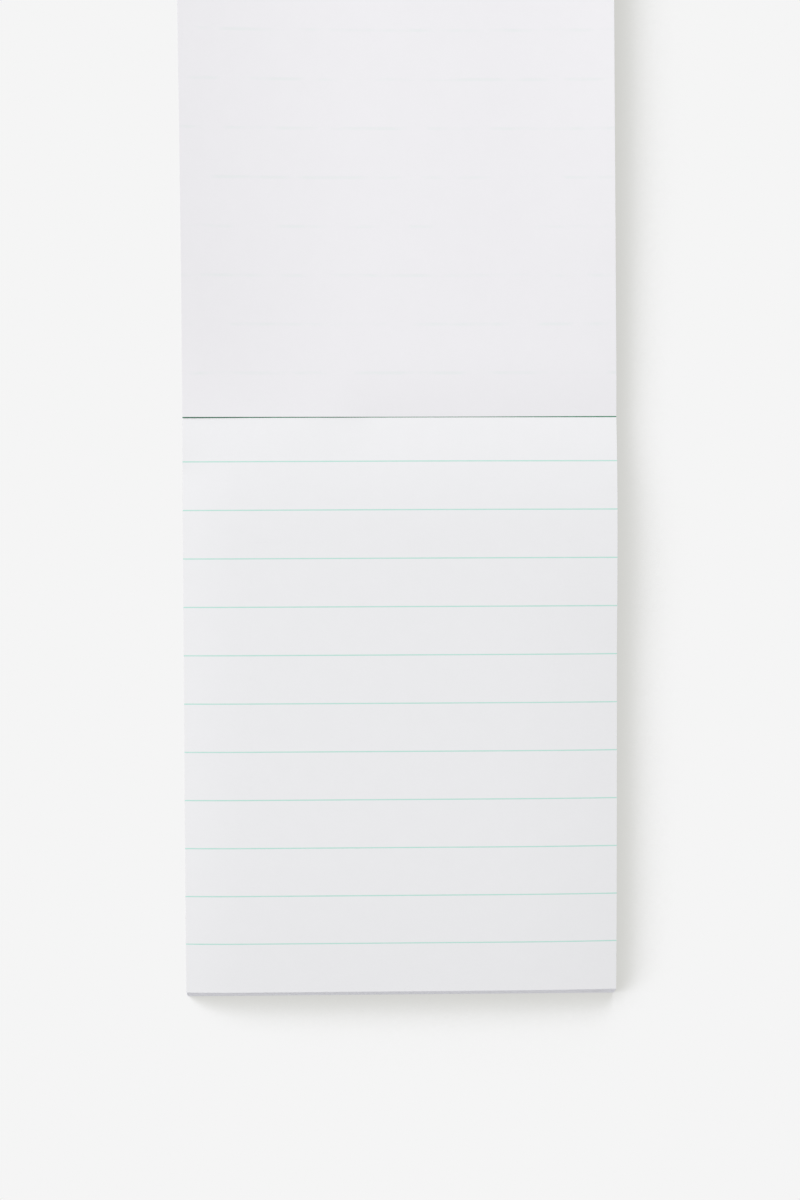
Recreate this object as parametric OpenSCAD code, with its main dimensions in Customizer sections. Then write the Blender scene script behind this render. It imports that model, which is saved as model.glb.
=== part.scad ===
// Small top-bound legal pad that lies open on a table.
// Part of its sheets lie on the chipboard back, the rest are turned over the glued head.
// +Z is up, X runs across the sheets, and +Y runs from the crease along the turned sheets.

/* [Sheets] */
// Width of every sheet
sheet_w = 76.2; // [50:0.1:220]
// Length of every sheet, from its glued head to its foot
sheet_l = 101; // [70:0.5:360]
// Thickness of one sheet, with the air between it and the next
sheet_t = 0.1; // [0.07:0.002:0.15]
// Number of sheets that lie on the board
sheets_left = 52; // [15:1:120]
// Number of sheets that are turned over the head
sheets_turned = 48; // [10:1:90]

/* [Board] */
// Thickness of the chipboard back
board_t = 0.9; // [0.6:0.1:3]

/* [Gutter] */
// Depth by which the ruled page sinks into the crease, unless a thick turned stack props the crease up
page_dip = 1.3; // [0.1:0.05:2]
// Distance from the crease over which the ruled page sinks
page_dip_l = 20; // [5:0.5:40]
// Overhang of the ruled page's head over the head of the board
page_lean = 1.75; // [0.5:0.05:4]
// Depth by which the turned sheets sink into the crease
turned_dip = 0.45; // [0.1:0.05:1]
// Distance from the crease over which the turned sheets sink
turned_dip_l = 8; // [3:0.5:40]
// Setback of the lowest turned sheet's head from the crease
turned_lean = 1.5; // [0.5:0.1:4]
// Angle by which the turned sheets run out of line with the lying ones
turned_skew = 0.38; // [0:0.02:2]

/* [Binding] */
// Thickness of the binding tape
tape_t = 0.2; // [0.1:0.02:0.4]
// Width of tape that shows in the crease, between the two heads
crease_w = 0.22; // [0.1:0.02:0.5]
// Length of the tape's flap under the board, and of its flap on the first sheet
flap_l = 6.5; // [3:0.5:20]

/* [Ruling] */
// Distance from the head of a sheet to its first rule
first_rule = 7.6; // [7:0.1:30]
// Distance from one rule to the next
rule_pitch = 8.5; // [5:0.1:12]
// Least distance from the last rule to the foot
foot_margin = 5; // [2:0.5:20]
// Width of a printed rule
rule_w = 0.2; // [0.1:0.02:0.6]
// Thickness of the ink
ink_t = 0.02; // [0.01:0.005:0.03]

/* [Hidden] */

// Colours of the paper, its back, the print, the tape and the board
paper_colour = "#ededef";
paper_back_colour = "#f0eff2";
ink_colour = "#bddfd8";
tape_colour = "#3c7a5c";
board_colour = "#a39683";

// Flat steps that a gutter's curve is drawn with
dip_steps = 12;
// Room by which the cutting outline passes the solids that it trims
spill = 1;

// Thickness of the turned stack and height of the lying block
turned_t = sheets_turned * sheet_t;
block_z = board_t + sheets_left * sheet_t;

// Height of the crease: the turned stack keeps room under it for the tape's flap
flap_room = 2 * tape_t;
crease_z = max(block_z - page_dip, turned_t - turned_dip + flap_room);

// Places along Y: the two heads at the crease, and the ends of the board and of the turned stack
head_y = crease_w / 2;
board_head_y = -head_y - page_lean;
board_foot_y = board_head_y - sheet_l;
turned_head_y = head_y + turned_lean;
turned_foot_y = turned_head_y + sheet_l;

// Fall of the turned stack for each millimetre, from the crease to the table
turned_slope = (crease_z + turned_dip - turned_t) / (turned_foot_y - head_y);

// Middle of the whole pad, which becomes the origin
mid_x = -tan(turned_skew) * turned_foot_y / 2;
mid_y = (board_foot_y + turned_foot_y) / 2;

// Rules that fit on a sheet
rule_count = 1 + floor((sheet_l - first_rule - foot_margin) / rule_pitch);

// Depth of a gutter at a distance from its head: a parabola that runs out level
function gutter(distance, depth, reach) = distance < reach ? depth * pow(1 - distance / reach, 2) : 0;

// Underside of the turned stack at a place along Y
function turned_under(y) = turned_slope * (turned_foot_y - y);

// Top of the ruled page, as [distance from the head, height]
page_line = [
    for (i = [0 : dip_steps])
        let (distance = page_dip_l * i / dip_steps)
            [distance, block_z - gutter(distance, block_z - crease_z, page_dip_l)],
    [sheet_l, block_z]
];

// Top of the turned stack, as [distance from the head, height]
turned_line = [
    for (i = [0 : dip_steps])
        let (distance = turned_dip_l * i / dip_steps)
            [distance, turned_under(head_y + distance) + turned_t - gutter(distance, turned_dip, turned_dip_l)],
    [sheet_l, turned_under(head_y + sheet_l) + turned_t]
];

// Outline of the pad from above: square up to the crease, then out of line by the skew
module trim_outline() {
    half_w = sheet_w / 2;
    reach = 2 * sheet_l;
    shift = -tan(turned_skew) * reach;
    polygon([
        [-half_w, -reach],
        [half_w, -reach],
        [half_w, 0],
        [half_w + shift, reach],
        [-half_w + shift, reach],
        [-half_w, 0]
    ]);
}

// A side profile, as [y, z], run across the pad and trimmed to the outline
module across(profile) {
    blank_w = 2 * sheet_w;
    translate([-mid_x, -mid_y, 0])
        intersection() {
            rotate([90, 0, 90])
                linear_extrude(height = blank_w, center = true)
                    polygon(profile);
            translate([0, 0, -spill])
                linear_extrude(height = block_z + turned_t + 2 * spill)
                    trim_outline();
        }
}

// Chipboard back, with the tape's flap pressed flush into its underside
module backing_board() {
    flap_end_y = board_head_y - flap_l;
    color(board_colour)
        across([
            [board_foot_y, 0],
            [flap_end_y, 0],
            [flap_end_y, tape_t],
            [board_head_y, tape_t],
            [board_head_y, board_t],
            [board_foot_y, board_t]
        ]);
}

// Sheets on the board: head and foot lean towards the crease, and the top sinks into it
module page_block() {
    color(paper_colour)
        across(concat(
            [[board_foot_y, board_t], [board_head_y, board_t]],
            [for (point = page_line) [-head_y - point[0], point[1]]]
        ));
}

// Sheets turned over the head: they ramp down from the crease until their foot meets the table
module turned_sheets() {
    color(paper_back_colour)
        across(concat(
            [[turned_foot_y, 0], [turned_head_y, turned_under(turned_head_y)]],
            [for (point = turned_line) [head_y + point[0], point[1]]]
        ));
}

// One strip of tape: flap under the board, up the lying head, over in the crease,
// down the turned head, and flap on the first sheet
module binding_tape() {
    turned_flap_y = turned_head_y + flap_l;
    color(tape_colour)
        across([
            [board_head_y - flap_l, 0],
            [board_head_y + tape_t, 0],
            [board_head_y + tape_t, board_t],
            [0, crease_z - tape_t],
            [turned_head_y - tape_t, turned_under(turned_head_y) - tape_t],
            [turned_flap_y, turned_under(turned_flap_y) - tape_t],
            [turned_flap_y, turned_under(turned_flap_y)],
            [turned_head_y, turned_under(turned_head_y)],
            [head_y, crease_z],
            [-head_y, crease_z],
            [board_head_y, board_t],
            [board_head_y, tape_t],
            [board_head_y - flap_l, tape_t]
        ]);
}

// Printed rules of the open page, from edge to edge
module page_rules() {
    color(ink_colour)
        for (i = [0 : rule_count - 1]) {
            near = first_rule + i * rule_pitch - rule_w / 2;
            far = near + rule_w;
            near_z = lookup(near, page_line);
            far_z = lookup(far, page_line);
            across([
                [-head_y - near, near_z],
                [-head_y - far, far_z],
                [-head_y - far, far_z + ink_t],
                [-head_y - near, near_z + ink_t]
            ]);
        }
}

// Printed rules of the first sheet, which now faces the table
module turned_rules() {
    color(ink_colour)
        for (i = [0 : rule_count - 1]) {
            near_y = turned_head_y + first_rule + i * rule_pitch - rule_w / 2;
            far_y = near_y + rule_w;
            across([
                [near_y, turned_under(near_y)],
                [far_y, turned_under(far_y)],
                [far_y, turned_under(far_y) - ink_t],
                [near_y, turned_under(near_y) - ink_t]
            ]);
        }
}

backing_board();
page_block();
turned_sheets();
binding_tape();
page_rules();
turned_rules();
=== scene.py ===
# %% [markdown]
# # A small ruled pad that lies open
# The pad is glued at its head. About half of its sheets are turned over that head and lie behind it, so a
# thin line of green binding tape shows in the crease between the turned sheets and the ruled page.
# The frame holds the pad's solids: a block of lying sheets, a block of turned ones, the board, the tape and
# the printed rules. This lesson replaces the two blocks by single sheets of paper, because loose edges and
# soft bends are what tells a pad from a box.

# %% Load the frame
import math
import random

import bmesh
import bpy
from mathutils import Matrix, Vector


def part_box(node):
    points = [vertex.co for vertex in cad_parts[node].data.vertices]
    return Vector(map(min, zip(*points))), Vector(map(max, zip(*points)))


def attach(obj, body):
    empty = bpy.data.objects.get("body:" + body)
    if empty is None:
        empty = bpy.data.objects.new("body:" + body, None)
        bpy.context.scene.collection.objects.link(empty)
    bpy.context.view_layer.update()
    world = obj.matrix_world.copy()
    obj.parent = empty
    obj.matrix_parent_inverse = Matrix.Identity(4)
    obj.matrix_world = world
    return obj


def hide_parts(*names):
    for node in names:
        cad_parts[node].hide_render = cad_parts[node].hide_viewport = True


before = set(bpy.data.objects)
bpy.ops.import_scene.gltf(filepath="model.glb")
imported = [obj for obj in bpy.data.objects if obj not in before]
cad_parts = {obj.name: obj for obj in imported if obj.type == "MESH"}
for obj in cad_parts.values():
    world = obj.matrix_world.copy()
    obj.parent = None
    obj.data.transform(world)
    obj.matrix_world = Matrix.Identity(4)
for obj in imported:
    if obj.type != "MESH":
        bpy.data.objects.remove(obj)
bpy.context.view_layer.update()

MM = 0.001

# %% [markdown]
# ## Sizes
# The paper has to fit the solids that it replaces. Its sizes could be typed in again, but then a change in
# the solids would leave the paper behind. So every size is read from the boxes of the solids, and only what
# a box can't tell is written here, such as how many sheets a block holds and how wide a rule is.

# %% Sheets, board and crease
board_low, board_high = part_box("backing_board")
block_low, block_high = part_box("page_block")
turned_low, turned_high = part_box("turned_sheets")
tape_low, tape_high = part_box("binding_tape")

LYING_SHEETS = 52
TURNED_SHEETS = 48

sheet_w = board_high.x - board_low.x
sheet_l = board_high.y - board_low.y
middle_x = (board_low.x + board_high.x) / 2
board_t = board_high.z
page_z = block_high.z
sheet_pitch = (page_z - board_t) / LYING_SHEETS
crease_y = (block_high.y + turned_low.y) / 2
crease_z = tape_high.z
print(f"sheets of {sheet_w / MM:.1f} by {sheet_l / MM:.1f} mm, {sheet_pitch / MM:.3f} mm apart")

# %% Lean, slope and skew of the two stacks
TURNED_DIP = 0.45 * MM

page_dip = page_z - crease_z
page_lean = block_high.y - board_high.y
turned_t = TURNED_SHEETS * sheet_pitch
turned_lean = turned_high.y - sheet_l - turned_low.y
turned_slope = (crease_z + TURNED_DIP - turned_t) / (turned_high.y - turned_low.y)
turned_skew = (block_low.x - turned_low.x) / (turned_high.y - crease_y)
print(f"page leans {page_lean / MM:.2f} mm, turned stack {turned_lean / MM:.2f} mm, slope {turned_slope:.4f}")

# %% Places of the rules
RULE_W = 0.2 * MM
RULE_COUNT = 11

rules_low, rules_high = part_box("page_rules")
rule_pitch = (rules_high.y - rules_low.y - RULE_W) / (RULE_COUNT - 1)
first_rule = block_high.y - rules_high.y + RULE_W / 2
rule_places = [first_rule + i * rule_pitch for i in range(RULE_COUNT)]
print(f"{RULE_COUNT} rules, {first_rule / MM:.2f} mm from the head, then every {rule_pitch / MM:.2f} mm")

# %% [markdown]
# ## Tools of the hand
# Modelling by hand is mostly three moves: choose one piece, pick some of its points, and pull them.
# A pull with proportional editing takes the neighbouring points along, less and less with distance, which
# is just how a sheet of paper bends when its edge is pressed down. A lattice could bend it too, but it bends
# the whole piece, and a pull stays near the place where the hand was.

# %% Choose a piece and open its mesh
def choose(piece):
    """Leaves only this piece selected and active."""
    bpy.ops.object.select_all(action="DESELECT")
    piece.select_set(True)
    bpy.context.view_layer.objects.active = piece


def open_mesh(piece):
    """Enters edit mode on this piece, ready to pick points."""
    choose(piece)
    bpy.ops.object.mode_set(mode="EDIT")
    bpy.ops.mesh.select_mode(type="VERT")


def close_mesh():
    """Leaves edit mode, which writes the changes into the mesh."""
    bpy.ops.object.mode_set(mode="OBJECT")


bpy.ops.object.select_all(action="DESELECT")
print(len(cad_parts), "solids of the frame, all deselected")

# %% Pick points and pull them
def pick(test):
    """Selects the points of the open mesh whose place passes the test."""
    mesh = bpy.context.edit_object.data
    form = bmesh.from_edit_mesh(mesh)
    for point in form.verts:
        point.select = test(point.co)
    form.select_flush_mode()
    bmesh.update_edit_mesh(mesh)


def pull(way, reach, falloff="SHARP"):
    """Moves the picked points, and their neighbours up to the reach."""
    bpy.ops.transform.translate(
        value=way,
        use_proportional_edit=True,
        proportional_edit_falloff=falloff,
        proportional_size=reach,
    )


print("hands ready to pick and pull")

# %% [markdown]
# ## One flat sheet
# A sheet is a rectangle of paper, a tenth of a millimetre thick. A cube could be pressed that flat, but a
# grid that Solidify thickens gives even walls, and keeps a map of the sheet that the print can use later.
# Its head lies on the X axis. Bisect cuts rows across it, close together near the head, where the paper
# bends most. All other sheets are copies of this one, so its mesh stays light.

# %% A sheet from a grid
def flat_sheet(name, side, columns, rows, thickness):
    """A sheet with its head on the X axis. Its foot lies towards -Y or +Y, as side says."""
    bpy.ops.object.select_all(action="DESELECT")
    bpy.ops.mesh.primitive_grid_add(x_subdivisions=columns, y_subdivisions=1, size=1)
    sheet = bpy.context.object
    sheet.name = name
    open_mesh(sheet)
    bpy.ops.mesh.select_all(action="SELECT")
    bpy.ops.transform.resize(value=(sheet_w, sheet_l, 1))
    bpy.ops.transform.translate(value=(0, side * sheet_l / 2, 0))
    for row in rows:
        bpy.ops.mesh.select_all(action="SELECT")
        bpy.ops.mesh.bisect(plane_co=(0, side * row, 0), plane_no=(0, 1, 0))
    close_mesh()
    wall = sheet.modifiers.new("thickness", "SOLIDIFY")
    wall.thickness = thickness
    wall.offset = -1
    bpy.ops.object.modifier_apply(modifier=wall.name)
    return sheet


print(f"flat sheets of {sheet_w / MM:.1f} by {sheet_l / MM:.1f} mm can be made")

# %% The first sheet of each stack
SHEET_T = 0.094 * MM
PLAIN_COLUMNS = 18
PLAIN_ROWS = [0.8, 1.7, 2.8, 4, 5.5, 7.5, 10, 13, 16, 20, 26, 32, 40, 52, 64, 76, 88, 94]

plain_rows = [row * MM for row in PLAIN_ROWS]
lying_sheet = flat_sheet("lying_sheets", -1, PLAIN_COLUMNS, plain_rows, SHEET_T)
turned_sheet = flat_sheet("turned_stack", 1, PLAIN_COLUMNS, plain_rows, SHEET_T)
print("one plain sheet has", len(lying_sheet.data.polygons), "faces")

# %% [markdown]
# ## How the lying sheets bend
# The head is glued, and the turned sheets drag it down, so the page sinks into the crease along a curve,
# deepest on the right, where the pad was pressed open. Away from the glue its long edges and its foot roll
# down a little. The blade that trimmed the foot ran slightly out of square, so upper sheets are a hair
# longer. Cloth simulation could bend the paper too, but each of these curves shows in the photograph's
# shading, and a pull of a known depth and reach can be matched to it.
# A sheet deep in the block bends less, so each pull is scaled by the sheet's level: 0 at the board, 1 on top.

# %% Bend one lying sheet
NEAR = 0.02 * MM
PAGE_SINK = page_dip + 0.2 * MM
PAGE_SINK_L = 20 * MM
PRESSED = 0.5 * MM
PRESSED_X = -sheet_w / PLAIN_COLUMNS
LEFT_ROLL = 0.6 * MM
LEFT_ROLL_L = 10 * MM
LEFT_ROLL_START = 10 * MM
RIGHT_ROLL = 0.8 * MM
RIGHT_ROLL_L = 20 * MM
RIGHT_ROLL_START = 40 * MM
FOOT_SAG = 0.8 * MM
FOOT_SAG_L = 26 * MM
OVERCUT = 0.3 * MM
OVERCUT_L = 8 * MM

side_x = sheet_w / 2 - NEAR


def bend_lying(level):
    """Bends the open sheet, whose head is still on the X axis."""
    pick(lambda place: place.y > -NEAR)
    pull((0, 0, -PAGE_SINK * level), PAGE_SINK_L)
    pick(lambda place: place.y > -NEAR and place.x > PRESSED_X - NEAR)
    pull((0, 0, -PRESSED * level), PAGE_SINK_L)
    pick(lambda place: place.x < -side_x and place.y < NEAR - LEFT_ROLL_START)
    pull((0, 0, -LEFT_ROLL * level), LEFT_ROLL_L)
    pick(lambda place: place.x > side_x and place.y < NEAR - RIGHT_ROLL_START)
    pull((0, 0, -RIGHT_ROLL * level), RIGHT_ROLL_L)
    pick(lambda place: place.y < -sheet_l + NEAR)
    pull((0, 0, -FOOT_SAG * level), FOOT_SAG_L)
    pull((0, -OVERCUT * level, 0), OVERCUT_L)


print(f"the page sinks {PAGE_SINK / MM:.2f} mm into the crease, and {PRESSED / MM:.2f} mm more on the right")

# %% [markdown]
# ## How the turned sheets bend
# The turned sheets slope down from the crease until their foot meets the table, and they run slightly out
# of line with the page. Away from the glue their long edges curl up, and on the right they drop sharply into
# the crease. One pull could curl a whole edge, but the curl would start all at once. Four smaller ones, each
# starting further from the glue, let it grow slowly, as it does in real paper.

# %% Bend one turned sheet
TURNED_SINK = TURNED_DIP + 0.2 * MM
PRESSED_L = 10 * MM
LEFT_CURL = 2.7 * MM
LEFT_CURL_L = 32 * MM
LEFT_CURL_STARTS = [row * MM for row in (16, 20, 26, 32)]
RIGHT_CURL = 0.9 * MM
RIGHT_CURL_L = 20 * MM
RIGHT_CURL_STARTS = [row * MM for row in (20, 32, 40, 52)]
LEFT_DRAW = 0.3 * MM
RIGHT_DRAW = 0.12 * MM
CURL_GROWTH = 1.5


def bend_turned(level):
    """Bends the open sheet, whose head is still on the X axis."""
    curl = level ** CURL_GROWTH
    pick(lambda place: place.y < NEAR)
    pull((0, 0, turned_slope * sheet_l - TURNED_SINK * level), sheet_l, "LINEAR")
    pick(lambda place: place.y < NEAR and place.x > PRESSED_X - NEAR)
    pull((0, 0, -PRESSED * level), PRESSED_L)
    for start in LEFT_CURL_STARTS:
        share = curl / len(LEFT_CURL_STARTS)
        pick(lambda place: place.x < -side_x + LEFT_DRAW and place.y > start - NEAR)
        pull((LEFT_DRAW * share, 0, LEFT_CURL * share), LEFT_CURL_L)
    for start in RIGHT_CURL_STARTS:
        share = curl / len(RIGHT_CURL_STARTS)
        pick(lambda place: place.x > side_x - RIGHT_DRAW and place.y > start - NEAR)
        pull((-RIGHT_DRAW * share, 0, RIGHT_CURL * share), RIGHT_CURL_L)
    pick(lambda place: place.y > sheet_l - NEAR)
    pull((-turned_skew * sheet_l, 0, 0), sheet_l, "LINEAR")


print(f"the turned sheets run {math.degrees(math.atan(turned_skew)):.2f} degrees out of line")

# %% [markdown]
# ## The two stacks
# Glued heads are flush, but the loose ends of the sheets never are: each one strays by a few hundredths of a
# millimetre. An Array modifier would repeat one sheet without a fault, and the stack would look like a block.
# So each sheet is a copy of its own, bent for its level, let loose and set in its place, and the copies are
# joined. The strays come from a seeded generator, so the pad is the same at every run.

# %% Let a sheet stray
STRAY = 0.035 * MM
MOST_STRAY = 2 * STRAY
SEED = 41
chance = random.Random(SEED)


def stray():
    """A small random distance, mostly close to none."""
    return max(-MOST_STRAY, min(MOST_STRAY, chance.gauss(0, STRAY)))


def loosen(side):
    """Lets the open sheet's foot stray sideways and lengthwise, while its head stays."""
    pick(lambda place: side * place.y > sheet_l - NEAR)
    pull((stray(), stray(), 0), sheet_l, "LINEAR")


print(f"a foot strays by {MOST_STRAY / MM:.2f} mm at most")

# %% Set a sheet in its place
def set_lying(level):
    """Moves the open sheet onto the board's stack, with its head leaning over the ones below."""
    bpy.ops.mesh.select_all(action="SELECT")
    head_y = board_high.y + page_lean * level
    height = board_t + (page_z - board_t) * level
    bpy.ops.transform.translate(value=(middle_x, head_y, height))


def set_turned(level):
    """Moves the open sheet onto the turned stack, with its head nearer the crease than the ones below."""
    bpy.ops.mesh.select_all(action="SELECT")
    head_y = turned_low.y + turned_lean * (1 - level)
    bpy.ops.transform.translate(value=(middle_x, head_y, turned_t * level))


print(f"the stacks stand {page_z / MM:.2f} and {turned_t / MM:.2f} mm high")

# %% Stack the sheets
def stack(first, count, side, bend, set_down):
    """Makes a stack out of the first sheet. Its top sheet is left out: that one is made on its own."""
    sheets = [first]
    while len(sheets) < count - 1:
        choose(first)
        bpy.ops.object.duplicate()
        sheets.append(bpy.context.object)
    for i, sheet in enumerate(sheets):
        level = (i + 1) / count
        open_mesh(sheet)
        bend(level)
        loosen(side)
        set_down(level)
        close_mesh()
    choose(first)
    for sheet in sheets:
        sheet.select_set(True)
    bpy.ops.object.join()
    print(first.name, "has", len(sheets), "sheets and", len(first.data.polygons), "faces")
    return first


lying_sheets = stack(lying_sheet, LYING_SHEETS, -1, bend_lying, set_lying)
turned_stack = stack(turned_sheet, TURNED_SHEETS, 1, bend_turned, set_turned)

# %% [markdown]
# ## The ruled page
# The top sheet is the one that everybody looks at. It could be one more copy in the stack, but it needs a
# finer grid, so that its bends shade smoothly, and a row cut along both edges of every rule.
# Its head reaches a little over the tape, so that only a hair of green shows, and its two corners draw back,
# where the crease opens.

# %% Cut the page
TOP_T = 0.08 * MM
FINE_COLUMNS = 2 * PLAIN_COLUMNS
ROWS_BETWEEN = [0.4, 1.2, 2.2, 3.4, 4.7, 6.5, 8.8, 11.5, 14.5, 18, 23, 29, 36, 46, 58, 70, 82, 91, 97]

fine_rows = sorted(plain_rows + [row * MM for row in ROWS_BETWEEN])
rule_edges = [place + shift for place in rule_places for shift in (-RULE_W / 2, RULE_W / 2)]
ruled_page = flat_sheet("ruled_page", -1, FINE_COLUMNS, sorted(fine_rows + rule_edges), TOP_T)
print("flat page:", len(ruled_page.data.polygons), "faces")

# %% Close the crease
HEAD_REACH = 0.054 * MM
HEAD_REACH_L = 2 * MM
LEFT_OPEN = 0.039 * MM
LEFT_OPEN_L = 46 * MM
RIGHT_OPEN = 0.042 * MM
RIGHT_OPEN_L = 30 * MM
CORNER_OPEN = 0.008 * MM
CORNER_OPEN_L = 5 * MM


def close_crease(side):
    """Brings the open sheet's head over the tape, and draws its corners back, the left one furthest."""
    pick(lambda place: side * place.y < NEAR)
    pull((0, -side * HEAD_REACH, 0), HEAD_REACH_L, "SMOOTH")
    pick(lambda place: side * place.y < NEAR and place.x > side_x - RIGHT_DRAW)
    pull((0, side * RIGHT_OPEN, 0), RIGHT_OPEN_L, "SMOOTH")
    pick(lambda place: side * place.y < NEAR and place.x < -side_x + LEFT_DRAW)
    pull((0, side * LEFT_OPEN, 0), LEFT_OPEN_L, "SMOOTH")
    pull((0, side * CORNER_OPEN, 0), CORNER_OPEN_L, "SMOOTH")


print(f"a head reaches {HEAD_REACH / MM} mm over the tape")

# %% Bend the page and set it in its place
TOP_LIFT = 0.05 * MM
SOFT_EDGE = math.radians(40)

open_mesh(ruled_page)
bend_lying(1)
close_crease(-1)
set_lying(1)
bpy.ops.transform.translate(value=(0, 0, TOP_LIFT))
close_mesh()
bpy.ops.object.shade_smooth_by_angle(angle=SOFT_EDGE)
print(f"ruled page in place, {TOP_LIFT / MM} mm above its level")

# %% [markdown]
# ## The printed rules
# A rule is a film of ink that runs off both edges of the page. The page's material could paint it, but as a
# mesh of its own it stays sharp at any distance. The strips of page between each pair of cuts are picked by
# their place, copied out of the page and given a hair of thickness, so every rule follows the page's bend.

# %% Pick the strips and lift them off the page
UPWARD = 0.5

open_mesh(ruled_page)
bpy.ops.mesh.select_mode(type="FACE")
form = bmesh.from_edit_mesh(ruled_page.data)
for face in form.faces:
    distance = block_high.y - face.calc_center_median().y
    on_rule = any(abs(distance - place) < RULE_W / 3 for place in rule_places)
    face.select_set(on_rule and face.normal.z > UPWARD)
bmesh.update_edit_mesh(ruled_page.data)
bpy.ops.mesh.duplicate()
bpy.ops.mesh.separate(type="SELECTED")
close_mesh()
printed_rules = [piece for piece in bpy.context.selected_objects if piece is not ruled_page][0]
printed_rules.name = "printed_rules"
print(len(printed_rules.data.polygons), "faces of the page are printed")

# %% Give the ink its thickness
INK_GAP = 0.002 * MM
INK_T = 0.004 * MM

open_mesh(printed_rules)
bpy.ops.mesh.select_all(action="SELECT")
bpy.ops.transform.translate(value=(0, 0, INK_GAP))
close_mesh()
film = printed_rules.modifiers.new("film", "SOLIDIFY")
film.thickness = INK_T
film.offset = 1
bpy.ops.object.modifier_apply(modifier=film.name)
bpy.ops.object.shade_smooth_by_angle(angle=SOFT_EDGE)
print("printed rules:", len(printed_rules.data.polygons), "faces")

# %% [markdown]
# ## The back of the top turned sheet
# The turned stack shows the plain back of its top sheet. A mirrored copy of the page could stand there, but
# the two bend in different ways. So it is made as the page is, from a flat sheet, with the bend of the turned
# sheets. It gets no ink: its rules are on the other side, and only show through faintly.

# %% Cut and bend the turned back
turned_back = flat_sheet("turned_back", 1, FINE_COLUMNS, fine_rows, TOP_T)
open_mesh(turned_back)
bend_turned(1)
close_crease(1)
set_turned(1)
bpy.ops.transform.translate(value=(0, 0, TOP_LIFT))
close_mesh()
bpy.ops.object.shade_smooth_by_angle(angle=SOFT_EDGE)
print("turned back:", len(turned_back.data.polygons), "faces")

# %% [markdown]
# ## Sections across the pad
# Board and tape have the same section from one side of the pad to the other. They could be put together from
# flat boxes, but the joints would show. So the section is drawn as a loop of points, filled, and extruded
# across in one go, and the folds that need rounding are picked by their place.

# %% Run a section across the pad
def run_across(name, section):
    """A solid with this section, given as places along Y and Z. Its mesh is left open."""
    bpy.ops.object.select_all(action="DESELECT")
    bpy.ops.mesh.primitive_circle_add(vertices=len(section), radius=1, fill_type="NGON")
    piece = bpy.context.object
    piece.name = name
    for point, (y, z) in zip(piece.data.vertices, section):
        point.co = (board_low.x, y, z)
    open_mesh(piece)
    bpy.ops.mesh.select_all(action="SELECT")
    bpy.ops.mesh.extrude_region_move(TRANSFORM_OT_translate={"value": (sheet_w, 0, 0)})
    bpy.ops.mesh.select_all(action="SELECT")
    bpy.ops.mesh.normals_make_consistent(inside=False)
    return piece


print(f"sections run {sheet_w / MM:.1f} mm across")

# %% Round some of the folds
ROUND_STEPS = 3


def round_folds(folds, radius):
    """Bevels the edges of the open piece that run across the pad at these places along Y and Z."""
    bpy.ops.mesh.select_mode(type="EDGE")
    mesh = bpy.context.edit_object.data
    form = bmesh.from_edit_mesh(mesh)
    for edge in form.edges:
        start, end = [point.co for point in edge.verts]
        crosses = abs(start.x - end.x) > sheet_w / 2
        edge.select_set(crosses and any(math.hypot(start.y - y, start.z - z) < NEAR for y, z in folds))
    bmesh.update_edit_mesh(mesh)
    bpy.ops.mesh.bevel(offset=radius, segments=ROUND_STEPS, affect="EDGES")


print("folds are rounded in", ROUND_STEPS, "steps")

# %% [markdown]
# ## The chipboard back
# The board is pressed pulp. The flap of the tape is pressed flush into its underside, so it has a shallow
# step there. A Bevel modifier could round it all over, but the edges against the tape are sharp. Only the
# two edges at the foot, which take the knocks, are softened.

# %% Chipboard back
TAPE_T = 0.2 * MM
BOARD_SOFT = 0.12 * MM

flap_y = tape_low.y
backing = run_across("chipboard_back", [
    (board_low.y, 0),
    (flap_y, 0),
    (flap_y, TAPE_T),
    (board_high.y, TAPE_T),
    (board_high.y, board_t),
    (board_low.y, board_t),
])
round_folds([(board_low.y, 0), (board_low.y, board_t)], BOARD_SOFT)
close_mesh()
bpy.ops.object.shade_smooth_by_angle(angle=SOFT_EDGE)
print("chipboard back:", len(backing.data.polygons), "faces")

# %% [markdown]
# ## The binding tape
# One strip of cloth runs from a flap under the board up the lying head, over in the crease, down the turned
# head and onto the first sheet. A bent strip with Solidify could make it, but in the sharp crease its two
# sides would cross, so the whole section is drawn. Its lower folds are rounded, because cloth doesn't fold
# to a knife edge. Cuts across it then let the crease sink on the right, as the paper does there.

# %% Section of the tape
TAPE_SUNK = 0.25 * MM
FOLD_R = 0.09 * MM


def turned_under(y):
    """Height of the turned stack's underside at a place along Y."""
    return turned_slope * (turned_high.y - y)


half_gap = turned_low.y - crease_y
sunk_z = crease_z - TAPE_SUNK
turned_head_y = turned_low.y + turned_lean
turned_flap_y = tape_high.y
lower_folds = [
    (board_high.y + TAPE_T, 0),
    (turned_head_y - TAPE_T, turned_under(turned_head_y) - TAPE_T),
]
binding = run_across("cloth_tape", [
    (flap_y, 0),
    lower_folds[0],
    (board_high.y + TAPE_T, board_t),
    (crease_y, sunk_z - TAPE_T),
    lower_folds[1],
    (turned_flap_y, turned_under(turned_flap_y) - TAPE_T),
    (turned_flap_y, turned_under(turned_flap_y)),
    (turned_head_y, turned_under(turned_head_y)),
    (crease_y + half_gap, sunk_z),
    (crease_y - half_gap, sunk_z),
    (board_high.y, board_t),
    (board_high.y, TAPE_T),
    (flap_y, TAPE_T),
])
round_folds(lower_folds, FOLD_R)
close_mesh()
print("section of the tape:", len(binding.data.polygons), "faces")

# %% Press the tape into the crease
TAPE_CUTS = 36
PRESS_STEPS = 8

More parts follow.
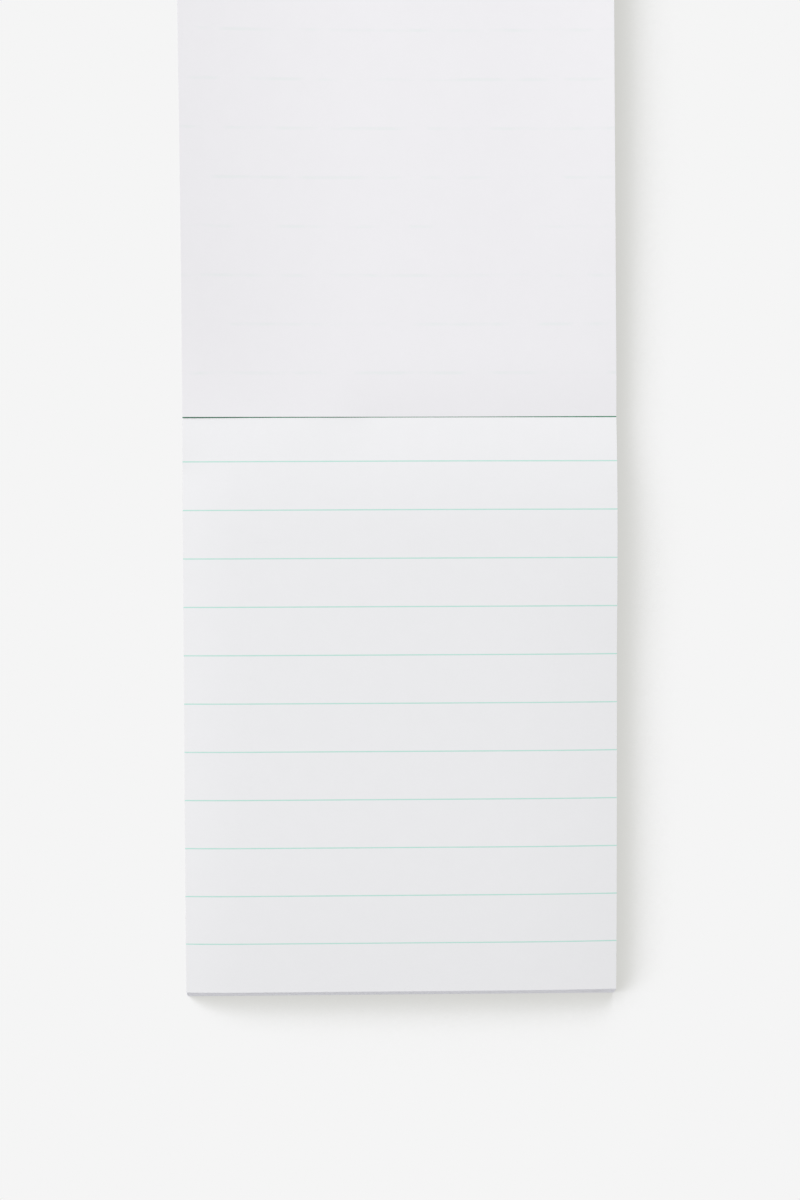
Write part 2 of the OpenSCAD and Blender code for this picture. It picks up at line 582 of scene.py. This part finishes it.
open_mesh(binding)
for i in range(1, TAPE_CUTS):
    bpy.ops.mesh.select_all(action="SELECT")
    bpy.ops.mesh.bisect(plane_co=(board_low.x + sheet_w * i / TAPE_CUTS, 0, 0), plane_no=(1, 0, 0))
for step in range(1, PRESS_STEPS + 1):
    start_x = middle_x + PRESSED_X - PAGE_SINK_L * (1 - math.sqrt(step / PRESS_STEPS))
    pick(lambda place: abs(place.y - crease_y) < half_gap + NEAR and place.x > start_x)
    bpy.ops.transform.translate(value=(0, 0, -PRESSED / PRESS_STEPS))
bpy.ops.mesh.select_all(action="SELECT")
bpy.ops.uv.cube_project(cube_size=MM)
close_mesh()
print("cloth tape:", len(binding.data.polygons), "faces")

# %% [markdown]
# ## Riding on the frame
# Each piece rides on the pad's only body, so that it goes where the pad goes, and the solid that it replaces
# is hidden. The rules on the underside of the first sheet could be made again as well, but their shape is
# right already, so the frame's own solid stays and only gets an ink.

# %% Tie the pieces to the frame
PIECES = [
    (lying_sheets, "page_block", "paper"),
    (ruled_page, "page_block", "paper"),
    (turned_stack, "turned_sheets", "paper_back"),
    (turned_back, "turned_sheets", "paper_back"),
    (printed_rules, "page_rules", "ink"),
    (backing, "backing_board", "chipboard"),
    (binding, "binding_tape", "tape"),
]
for piece, node, slot in PIECES:
    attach(piece, "root")
    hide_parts(node)
under_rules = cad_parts["turned_rules"]
print(len(PIECES), "pieces ride on the pad")

# %% [markdown]
# ## Materials
# A material is a small network of nodes. It could be built node by node, but the same few moves come back in
# each one, and helpers keep them readable: one adds a node and sets its sockets, one draws a wire, one does
# sums, and one makes the soft noise that nearly every finish starts from.

# %% Nodes and wires
def add(tree, kind, sockets=None, **settings):
    """Adds a node of this kind, and sets its settings and the values of its sockets."""
    made = tree.nodes.new("ShaderNode" + kind)
    for name, value in settings.items():
        setattr(made, name, value)
    for name, value in (sockets or {}).items():
        made.inputs[name].default_value = value
    return made


def wire(tree, source, target):
    """Runs a wire from one node's output to another node's input."""
    tree.links.new(source, target)


print("helpers for nodes ready")

# %% Arithmetic with nodes
def calc(tree, operation, first, second=0.0):
    """One Math node. Each of its two values is a number or another node's output."""
    made = add(tree, "Math", operation=operation)
    for socket, value in zip(made.inputs, (first, second)):
        if isinstance(value, (int, float)):
            socket.default_value = value
        else:
            wire(tree, value, socket)
    return made.outputs[0]


def spread(tree, noise, low, high):
    """A noise of 0 to 1 as a value from low to high."""
    return calc(tree, "ADD", calc(tree, "MULTIPLY", noise, high - low), low)


def shade(tree, colour, amount):
    """A colour, made lighter or darker by an amount around 1."""
    made = add(tree, "VectorMath", operation="SCALE")
    wire(tree, colour, made.inputs["Vector"])
    wire(tree, amount, made.inputs["Scale"])
    return made.outputs["Vector"]


print("helpers for values and shades ready")

# %% Groups and noise
def new_group(name, inputs, outputs):
    """A node group with named sockets, each given as its name and its kind."""
    group = bpy.data.node_groups.new(name, "ShaderNodeTree")
    for label, kind in inputs:
        group.interface.new_socket(label, in_out="INPUT", socket_type="NodeSocket" + kind)
    for label, kind in outputs:
        group.interface.new_socket(label, in_out="OUTPUT", socket_type="NodeSocket" + kind)
    return group, group.nodes.new("NodeGroupInput"), group.nodes.new("NodeGroupOutput")


def speckle(tree, scale, detail=2.0, distortion=0.0):
    """Soft noise between 0 and 1 on the piece, with this many blots to the millimetre along each axis."""
    stretch = add(tree, "Mapping", {"Scale": [value / MM for value in scale]})
    wire(tree, add(tree, "TexCoord").outputs["Object"], stretch.inputs["Vector"])
    noise = add(tree, "TexNoise", {"Scale": 1.0, "Detail": detail, "Distortion": distortion})
    wire(tree, stretch.outputs["Vector"], noise.inputs["Vector"])
    return noise.outputs["Fac"]


print("helpers for groups and noise ready")

# %% [markdown]
# ## The paper stock
# Writing paper is a felt of fibres. Held up close it is slightly cloudy, crossed by fine fibres, and its
# surface has a tooth that takes ink. A picture of paper could be laid on it, but a picture repeats, and
# noise doesn't. All four papers of the pad share this, so it is one node group: each material gives it a
# colour and says how strong the clouds and fibres are.

# %% Build the paper stock group
NOISE_MIDDLE = 0.5

paper_stock, entry, leave = new_group(
    "paper stock",
    [("Sheet Colour", "Color"), ("Clouds", "Float"), ("Fibres", "Float")],
    [("Colour", "Color"), ("Roughness", "Float"), ("Height", "Float")],
)
clouds = speckle(paper_stock, (0.3, 0.3, 0.3), detail=4.0)
fibres = speckle(paper_stock, (1.1, 3.6, 3.6), detail=3.0, distortion=0.8)
tooth = speckle(paper_stock, (9, 9, 9))

amount = 1.0
for noise, strength in ((clouds, "Clouds"), (fibres, "Fibres")):
    swing = calc(paper_stock, "SUBTRACT", noise, NOISE_MIDDLE)
    part = calc(paper_stock, "MULTIPLY", swing, entry.outputs[strength])
    amount = calc(paper_stock, "ADD", part, amount)
wire(paper_stock, shade(paper_stock, entry.outputs["Sheet Colour"], amount), leave.inputs["Colour"])
wire(paper_stock, spread(paper_stock, fibres, 0.6, 0.8), leave.inputs["Roughness"])
wire(paper_stock, calc(paper_stock, "ADD", tooth, fibres), leave.inputs["Height"])
print("paper stock group:", len(paper_stock.nodes), "nodes")

# %% [markdown]
# ## Paper of the ruled page
# The page is plain white stock, smooth and without gloss. One flat colour could do from afar, but up close it
# would look like plastic, so the stock's faint clouds and fibres are kept. Colours are given as a screen
# shows them, and a helper turns them into the linear light that Blender reckons with.

# %% Paper of a sheet
DULL = 0.2


def paper_surface(tree, shader, colour, clouds, fibres, tooth_depth):
    """Places the paper stock and wires its roughness and tooth. Gives back its colour."""
    stock = add(tree, "Group", node_tree=paper_stock)
    stock.inputs["Sheet Colour"].default_value = colour
    stock.inputs["Clouds"].default_value = clouds
    stock.inputs["Fibres"].default_value = fibres
    bump = add(tree, "Bump", {"Strength": 0.5, "Distance": tooth_depth})
    wire(tree, stock.outputs["Height"], bump.inputs["Height"])
    wire(tree, bump.outputs["Normal"], shader.inputs["Normal"])
    wire(tree, stock.outputs["Roughness"], shader.inputs["Roughness"])
    shader.inputs["Specular IOR Level"].default_value = DULL
    return stock.outputs["Colour"]


print("paper reflects at a level of", DULL)

# %% Colours and materials
def tone(red, green, blue):
    """A screen colour of 0 to 255 as linear light, with full opacity."""
    parts = [value / 255 for value in (red, green, blue)]
    light = [part / 12.92 if part < 0.04045 else ((part + 0.055) / 1.055) ** 2.4 for part in parts]
    return (*light, 1)


def new_material(name):
    """A material with its node tree and the shader that is in it from the start."""
    material = bpy.data.materials.new(name)
    material.use_nodes = True
    return material, material.node_tree, material.node_tree.nodes["Principled BSDF"]


print("a screen grey of 128 is", round(tone(128, 128, 128)[0], 3), "in linear light")

# %% Ruled page
PAGE_TONE = tone(237, 237, 239)

page_paper, tree, shader = new_material("ruled page paper")
colour = paper_surface(tree, shader, PAGE_TONE, clouds=0.02, fibres=0.012, tooth_depth=0.004 * MM)
wire(tree, colour, shader.inputs["Base Color"])
print("made", page_paper.name)

# %% [markdown]
# ## Where a rule shows
# Rules run off both edges of a sheet, so they leave a speck on the cut edge of every sheet in a stack, and
# they show through faintly on its back. They could be cut into the meshes as the page's rules are, but that
# would cost thousands of faces. So this group turns a distance from the head into a mask of the rules.
# The place of a point in the room doesn't say how far along a bent sheet it lies, but the sheet's own map
# does: it was made with the flat grid, and it bent along. So the distance is measured on that map.

# %% Build the rule mask group
rule_mask, entry, leave = new_group(
    "rule mask",
    [("Distance", "Float"), ("Half Width", "Float"), ("Softness", "Float")],
    [("Mask", "Float")],
)
from_first = calc(rule_mask, "SUBTRACT", entry.outputs["Distance"], first_rule / MM)
number = calc(rule_mask, "ROUND", calc(rule_mask, "DIVIDE", from_first, rule_pitch / MM))
number = calc(rule_mask, "MINIMUM", calc(rule_mask, "MAXIMUM", number, 0.0), RULE_COUNT - 1.0)
nearest = calc(rule_mask, "MULTIPLY", number, rule_pitch / MM)
off_rule = calc(rule_mask, "ABSOLUTE", calc(rule_mask, "SUBTRACT", from_first, nearest))
fade = add(rule_mask, "MapRange", {"To Min": 1.0, "To Max": 0.0}, interpolation_type="SMOOTHSTEP")
wire(rule_mask, off_rule, fade.inputs["Value"])
wire(rule_mask, entry.outputs["Half Width"], fade.inputs["From Min"])
outer = calc(rule_mask, "ADD", entry.outputs["Half Width"], entry.outputs["Softness"])
wire(rule_mask, outer, fade.inputs["From Max"])
wire(rule_mask, fade.outputs["Result"], leave.inputs["Mask"])
print("rule mask group:", len(rule_mask.nodes), "nodes")

# %% Rules along a sheet
def rules_on_sheet(tree, side, half_width, softness):
    """A mask of the rules, by the distance in millimetres from the sheet's head on its own map."""
    parts = add(tree, "SeparateXYZ")
    wire(tree, add(tree, "TexCoord").outputs["UV"], parts.inputs["Vector"])
    share = parts.outputs["Y"]
    if side < 0:
        share = calc(tree, "SUBTRACT", 1.0, share)
    rules = add(tree, "Group", node_tree=rule_mask)
    rules.inputs["Half Width"].default_value = half_width
    rules.inputs["Softness"].default_value = softness
    wire(tree, calc(tree, "MULTIPLY", share, sheet_l / MM), rules.inputs["Distance"])
    return rules.outputs["Mask"]


print(f"a sheet's map is {sheet_l / MM:.1f} mm long")

# %% [markdown]
# ## Paper of the turned back
# The back is the same stock, seen from its other side. The rules of the front show through it as faint,
# broken lines. Light could be let through the sheet to show them, but the sheets below would swallow it. So
# the rule mask draws them, and large soft noise breaks them up, because paper isn't equally dense all over.

# %% Values and colours that blend
# A Mix node's colour sockets share their names with its other sockets, so they are found by number.
MIX_COLOURS = (6, 7)
MIXED_COLOUR = 2


def remap(tree, value, before, after):
    """Turns the two values of before into the two of after, and all between them in step."""
    limits = {"From Min": before[0], "From Max": before[1], "To Min": after[0], "To Max": after[1]}
    made = add(tree, "MapRange", limits)
    wire(tree, value, made.inputs["Value"])
    return made.outputs["Result"]


def blend(tree, mask, first, second):
    """The first colour where the mask is 0 and the second where it is 1. A colour is a tone or an output."""
    made = add(tree, "Mix", data_type="RGBA")
    wire(tree, mask, made.inputs["Factor"])
    for number, value in zip(MIX_COLOURS, (first, second)):
        if isinstance(value, tuple):
            made.inputs[number].default_value = value
        else:
            wire(tree, value, made.inputs[number])
    return made.outputs[MIXED_COLOUR]


print("helpers for blending ready")

# %% Back of the turned sheet
BACK_TONE = tone(239, 238, 241)
GHOST_TONE = tone(233, 236, 237)

back_paper, tree, shader = new_material("turned back paper")
colour = paper_surface(tree, shader, BACK_TONE, clouds=0.02, fibres=0.012, tooth_depth=0.004 * MM)
ghost = rules_on_sheet(tree, 1, half_width=0.12, softness=0.3)
patches = speckle(tree, (0.18, 0.4, 0.4), detail=3.0)
mask = calc(tree, "MULTIPLY", ghost, remap(tree, patches, (0.42, 0.62), (0.0, 0.7)))
wire(tree, blend(tree, mask, colour, GHOST_TONE), shader.inputs["Base Color"])
print("made", back_paper.name)

# %% [markdown]
# ## Paper of the two stacks
# A stack shows only the cut edges of its sheets, with the specks where the rules run off. A material for each
# sheet could give every edge its own tone, but noise that is pressed as flat as a sheet does the same in one.
# The gaps between the sheets darken a stack, so its paper is painted a little lighter than the page's.
# This is painted light, which offsets the shade in the gaps.

# %% Cut edges of the two stacks
# Painted light: both edge tones are lighter than the page's paper, to offset the shade in the gaps.
LYING_EDGE_LIGHTENED_TONE = tone(243, 243, 247)
TURNED_EDGE_LIGHTENED_TONE = tone(240, 240, 245)
SPECK_TONE = tone(189, 222, 216)
SPECK_SHOWS = 0.45


def edge_paper(name, side, colour):
    """Paper of a stack, whose tone changes a little from sheet to sheet."""
    material, tree, shader = new_material(name)
    plain = paper_surface(tree, shader, colour, clouds=0.03, fibres=0.03, tooth_depth=0.006 * MM)
    sheet_tone = speckle(tree, (0.02, 0.02, 7.0), detail=1.0)
    plain = shade(tree, plain, remap(tree, sheet_tone, (0.3, 0.7), (0.94, 1.04)))
    specks = rules_on_sheet(tree, side, half_width=0.1, softness=0.1)
    mask = calc(tree, "MULTIPLY", specks, SPECK_SHOWS)
    wire(tree, blend(tree, mask, plain, SPECK_TONE), shader.inputs["Base Color"])
    print("made", material.name)
    return material


lying_paper = edge_paper("lying stack paper", -1, LYING_EDGE_LIGHTENED_TONE)
turned_paper = edge_paper("turned stack paper", 1, TURNED_EDGE_LIGHTENED_TONE)

# %% [markdown]
# ## Ink
# The ink is a pale mint. An even colour would look like a painted line, and print isn't even: it lies thinner
# in places, where the paper's fibres took less of it. Noise that is stretched along the rule gives that.

# %% Mint ink
INK_FULL = tone(185, 227, 215)
INK_THIN = tone(205, 231, 225)

ink, tree, shader = new_material("mint ink")
film = speckle(tree, (0.5, 2.0, 2.0), detail=4.0)
thin = remap(tree, film, (0.4, 0.75), (0.0, 0.5))
wire(tree, blend(tree, thin, INK_FULL, INK_THIN), shader.inputs["Base Color"])
wire(tree, spread(tree, film, 0.5, 0.7), shader.inputs["Roughness"])
shader.inputs["Specular IOR Level"].default_value = DULL
print("made", ink.name)

# %% [markdown]
# ## Cloth of the tape
# The tape is a plain weave: two sets of threads cross, and each goes over and under in turn. Threads could be
# modelled one by one, but they are a quarter of a millimetre wide, and only a hair of tape is seen. The
# product of two sine waves on the tape's own map has the same checks of high and low, so it gives the bump.
# It also darkens the colour of the low checks: painted shade, mottled by noise for the tape's wear.

# %% Green cloth tape
THREAD = 0.26
WEAVE_SHADE_SHOWS = 0.25
CLOTH_DARK = tone(46, 122, 88)
CLOTH_LIGHT = tone(78, 166, 128)

cloth, tree, shader = new_material("green cloth tape")
parts = add(tree, "SeparateXYZ")
wire(tree, add(tree, "TexCoord").outputs["UV"], parts.inputs["Vector"])
turns = [calc(tree, "MULTIPLY", parts.outputs[axis], math.pi / THREAD) for axis in ("X", "Y")]
weave = calc(tree, "MULTIPLY", calc(tree, "SINE", turns[0]), calc(tree, "SINE", turns[1]))
wear = speckle(tree, (0.8, 0.8, 0.8), detail=4.0)
# Painted shade: the weave's low checks get the darker cloth colour; the wear noise is real mottle.
light = calc(tree, "ADD", calc(tree, "MULTIPLY", weave, WEAVE_SHADE_SHOWS), wear)
amount = remap(tree, light, (0.1, 0.9), (0.0, 1.0))
wire(tree, blend(tree, amount, CLOTH_DARK, CLOTH_LIGHT), shader.inputs["Base Color"])
wire(tree, spread(tree, wear, 0.6, 0.85), shader.inputs["Roughness"])
bump = add(tree, "Bump", {"Strength": 0.6, "Distance": 0.03 * MM})
wire(tree, weave, bump.inputs["Height"])
wire(tree, bump.outputs["Normal"], shader.inputs["Normal"])
print("made", cloth.name)

# %% [markdown]
# ## Chipboard
# The board is pressed from waste pulp: brown-grey and cloudy, full of strands, with dark and pale flecks of
# what the pulp once was. One noise could mottle it, but the clouds, strands and flecks have sizes of their
# own, so there are three, and the highest and lowest spots of the last one become the flecks.

# %% Chipboard
CLOUDS_SHOW = 0.6
STRANDS_SHOW = 0.4
PULP_DARK = tone(150, 136, 116)
PULP_PALE = tone(174, 162, 144)
FLECK_DARK = tone(104, 92, 76)
FLECK_PALE = tone(204, 196, 182)

pulp, tree, shader = new_material("chipboard")
clouds = speckle(tree, (0.12, 0.12, 0.4), detail=5.0)
strands = speckle(tree, (0.9, 4.0, 6.0), detail=3.0, distortion=1.2)
flecks = speckle(tree, (2.2, 2.2, 4.0))
cloud_part = calc(tree, "MULTIPLY", clouds, CLOUDS_SHOW)
mottle = calc(tree, "ADD", cloud_part, calc(tree, "MULTIPLY", strands, STRANDS_SHOW))
colour = blend(tree, remap(tree, mottle, (0.35, 0.65), (0.0, 1.0)), PULP_DARK, PULP_PALE)
colour = blend(tree, remap(tree, flecks, (0.68, 0.74), (0.0, 0.6)), colour, FLECK_DARK)
colour = blend(tree, remap(tree, flecks, (0.3, 0.24), (0.0, 0.5)), colour, FLECK_PALE)
wire(tree, colour, shader.inputs["Base Color"])
wire(tree, spread(tree, strands, 0.7, 0.9), shader.inputs["Roughness"])
bump = add(tree, "Bump", {"Strength": 0.6, "Distance": 0.03 * MM})
wire(tree, strands, bump.inputs["Height"])
wire(tree, bump.outputs["Normal"], shader.inputs["Normal"])
print("made", pulp.name)

# %% [markdown]
# ## Dressing the pieces
# A material does nothing until it is in a piece's slot. Both kinds of rules take the same ink. Slots are
# cleared first, because the frame's own solid comes with a plain material.

# %% Dress the pieces
FINISHES = [
    (ruled_page, page_paper),
    (turned_back, back_paper),
    (lying_sheets, lying_paper),
    (turned_stack, turned_paper),
    (printed_rules, ink),
    (under_rules, ink),
    (binding, cloth),
    (backing, pulp),
]
for piece, material in FINISHES:
    piece.data.materials.clear()
    piece.data.materials.append(material)
print(len(FINISHES), "pieces dressed")

# %% [markdown]
# ## The table
# The pad lies on a photographer's white table, which is lit so fully that only a shadow shows on it. More
# light would do that here too, but it would burn out the paper. So only to the camera, and in gloss and
# glass, the table has a white of its own, which turns greyer where the pad covers the part of the sky that
# the lamp is in. An Ambient Occlusion node measures that, with its normal leaned towards the lamp.
# To all other light the table is a plain matt white.

# %% Rays that show the background
def seen_rays(tree):
    """Is 1 for rays that come from the camera, straight or by way of gloss or glass."""
    path = add(tree, "LightPath")
    seen = calc(tree, "MAXIMUM", path.outputs["Is Camera Ray"], path.outputs["Is Glossy Ray"])
    return calc(tree, "MAXIMUM", seen, path.outputs["Is Transmission Ray"])


print("background helper ready")

# %% Table top
TABLE_W = 8
TABLE_GAP = 0.01 * MM

bpy.ops.object.select_all(action="DESELECT")
bpy.ops.mesh.primitive_plane_add(size=TABLE_W, location=(0, 0, -TABLE_GAP))
table = bpy.context.object
table.name = "table"
print("table of", round(table.dimensions.x), "m")

# %% White of the table and its shadow
TABLE_TONE = tone(245, 245, 245)
SHADOW_TONE = tone(204, 204, 200)
SHADOW_WAY = Vector((-2.55, 2.57, 1.0)).normalized()
SHADOW_REACH = 60 * MM
SHADOW_RAYS = 24
SHADOW_CURVE = 6.0
OPEN_SKY = 0.757

table_finish, tree, shader = new_material("white table")
tree.nodes.remove(shader)
lean = add(tree, "CombineXYZ", dict(zip("XYZ", SHADOW_WAY)))
sky = add(tree, "AmbientOcclusion", {"Distance": SHADOW_REACH}, samples=SHADOW_RAYS)
wire(tree, lean.outputs[0], sky.inputs["Normal"])
seen_sky = calc(tree, "MINIMUM", calc(tree, "DIVIDE", sky.outputs["AO"], OPEN_SKY), 1.0)
open_part = calc(tree, "POWER", seen_sky, SHADOW_CURVE)
glow = add(tree, "Emission", {"Strength": 1.0})
wire(tree, blend(tree, open_part, SHADOW_TONE, TABLE_TONE), glow.inputs["Color"])
matt = add(tree, "BsdfDiffuse", {"Color": TABLE_TONE})
mixer = add(tree, "MixShader")
wire(tree, seen_rays(tree), mixer.inputs[0])
wire(tree, matt.outputs[0], mixer.inputs[1])
wire(tree, glow.outputs[0], mixer.inputs[2])
wire(tree, mixer.outputs[0], tree.nodes["Material Output"].inputs["Surface"])
table.data.materials.append(table_finish)
print("made", table_finish.name)

# %% [markdown]
# ## The light
# One soft lamp stands at the upper left, in a bright white room. A small lamp could light the paper as well,
# but its shadows have hard edges, and those of a wide disk are soft. The lamp gives a third of the light and
# the room the rest. Together they are 1 on a level sheet, so a colour renders about as it is written.

# %% Lamp
LAMP_SHARE = 0.34
LAMP_WAY = Vector((-0.8, 0.9, 1.0)).normalized()
LAMP_DISTANCE = 1.8
LAMP_WIDTH = 0.86

bpy.ops.object.light_add(type="AREA", location=LAMP_WAY * LAMP_DISTANCE)
lamp = bpy.context.object
lamp.name = "lamp"
lamp.rotation_euler = LAMP_WAY.to_track_quat("Z", "Y").to_euler()
lamp.data.shape = "DISK"
lamp.data.size = LAMP_WIDTH
lamp.data.energy = LAMP_SHARE * math.pi ** 2 * LAMP_DISTANCE ** 2 / LAMP_WAY.z
print(f"lamp of {lamp.data.energy:.1f} W")

# %% Light from all round
world = bpy.data.worlds.new("studio")
world.use_nodes = True
bpy.context.scene.world = world
tree = world.node_tree
room = tree.nodes["Background"]
room.inputs["Color"].default_value = (1, 1, 1, 1)
room.inputs["Strength"].default_value = 1 - LAMP_SHARE
backdrop = add(tree, "Background", {"Color": TABLE_TONE, "Strength": 1.0})
mixer = add(tree, "MixShader")
wire(tree, seen_rays(tree), mixer.inputs[0])
wire(tree, room.outputs[0], mixer.inputs[1])
wire(tree, backdrop.outputs[0], mixer.inputs[2])
wire(tree, mixer.outputs[0], tree.nodes["World Output"].inputs["Surface"])
bpy.context.scene.view_settings.view_transform = "Standard"
print("room light", round(1 - LAMP_SHARE, 2))

# %% [markdown]
# ## Camera
# The photograph looks down on the pad almost squarely, from a little left of the middle. A camera could be
# aimed by eye, but a fraction of a degree shows in the long parallel edges. So its place, angle and lens were
# found by matching the page's corners and the ends of its rules.

# %% Camera over the pad
CAMERA_PLACE = Vector((-12.154, -11.111, 455.4)) * MM
CAMERA_TURN = [math.radians(angle) for angle in (-2.647, -1.5834, -0.1825)]
LENS_PIXELS = 2565.2
IMAGE_H_PIXELS = 1200

bpy.ops.object.camera_add(location=CAMERA_PLACE, rotation=CAMERA_TURN)
camera = bpy.context.object
camera.name = "camera"
camera.data.lens = LENS_PIXELS / IMAGE_H_PIXELS * camera.data.sensor_width
camera.data.clip_start = 10 * MM
bpy.context.scene.camera = camera
print(f"lens of {camera.data.lens:.1f} mm")
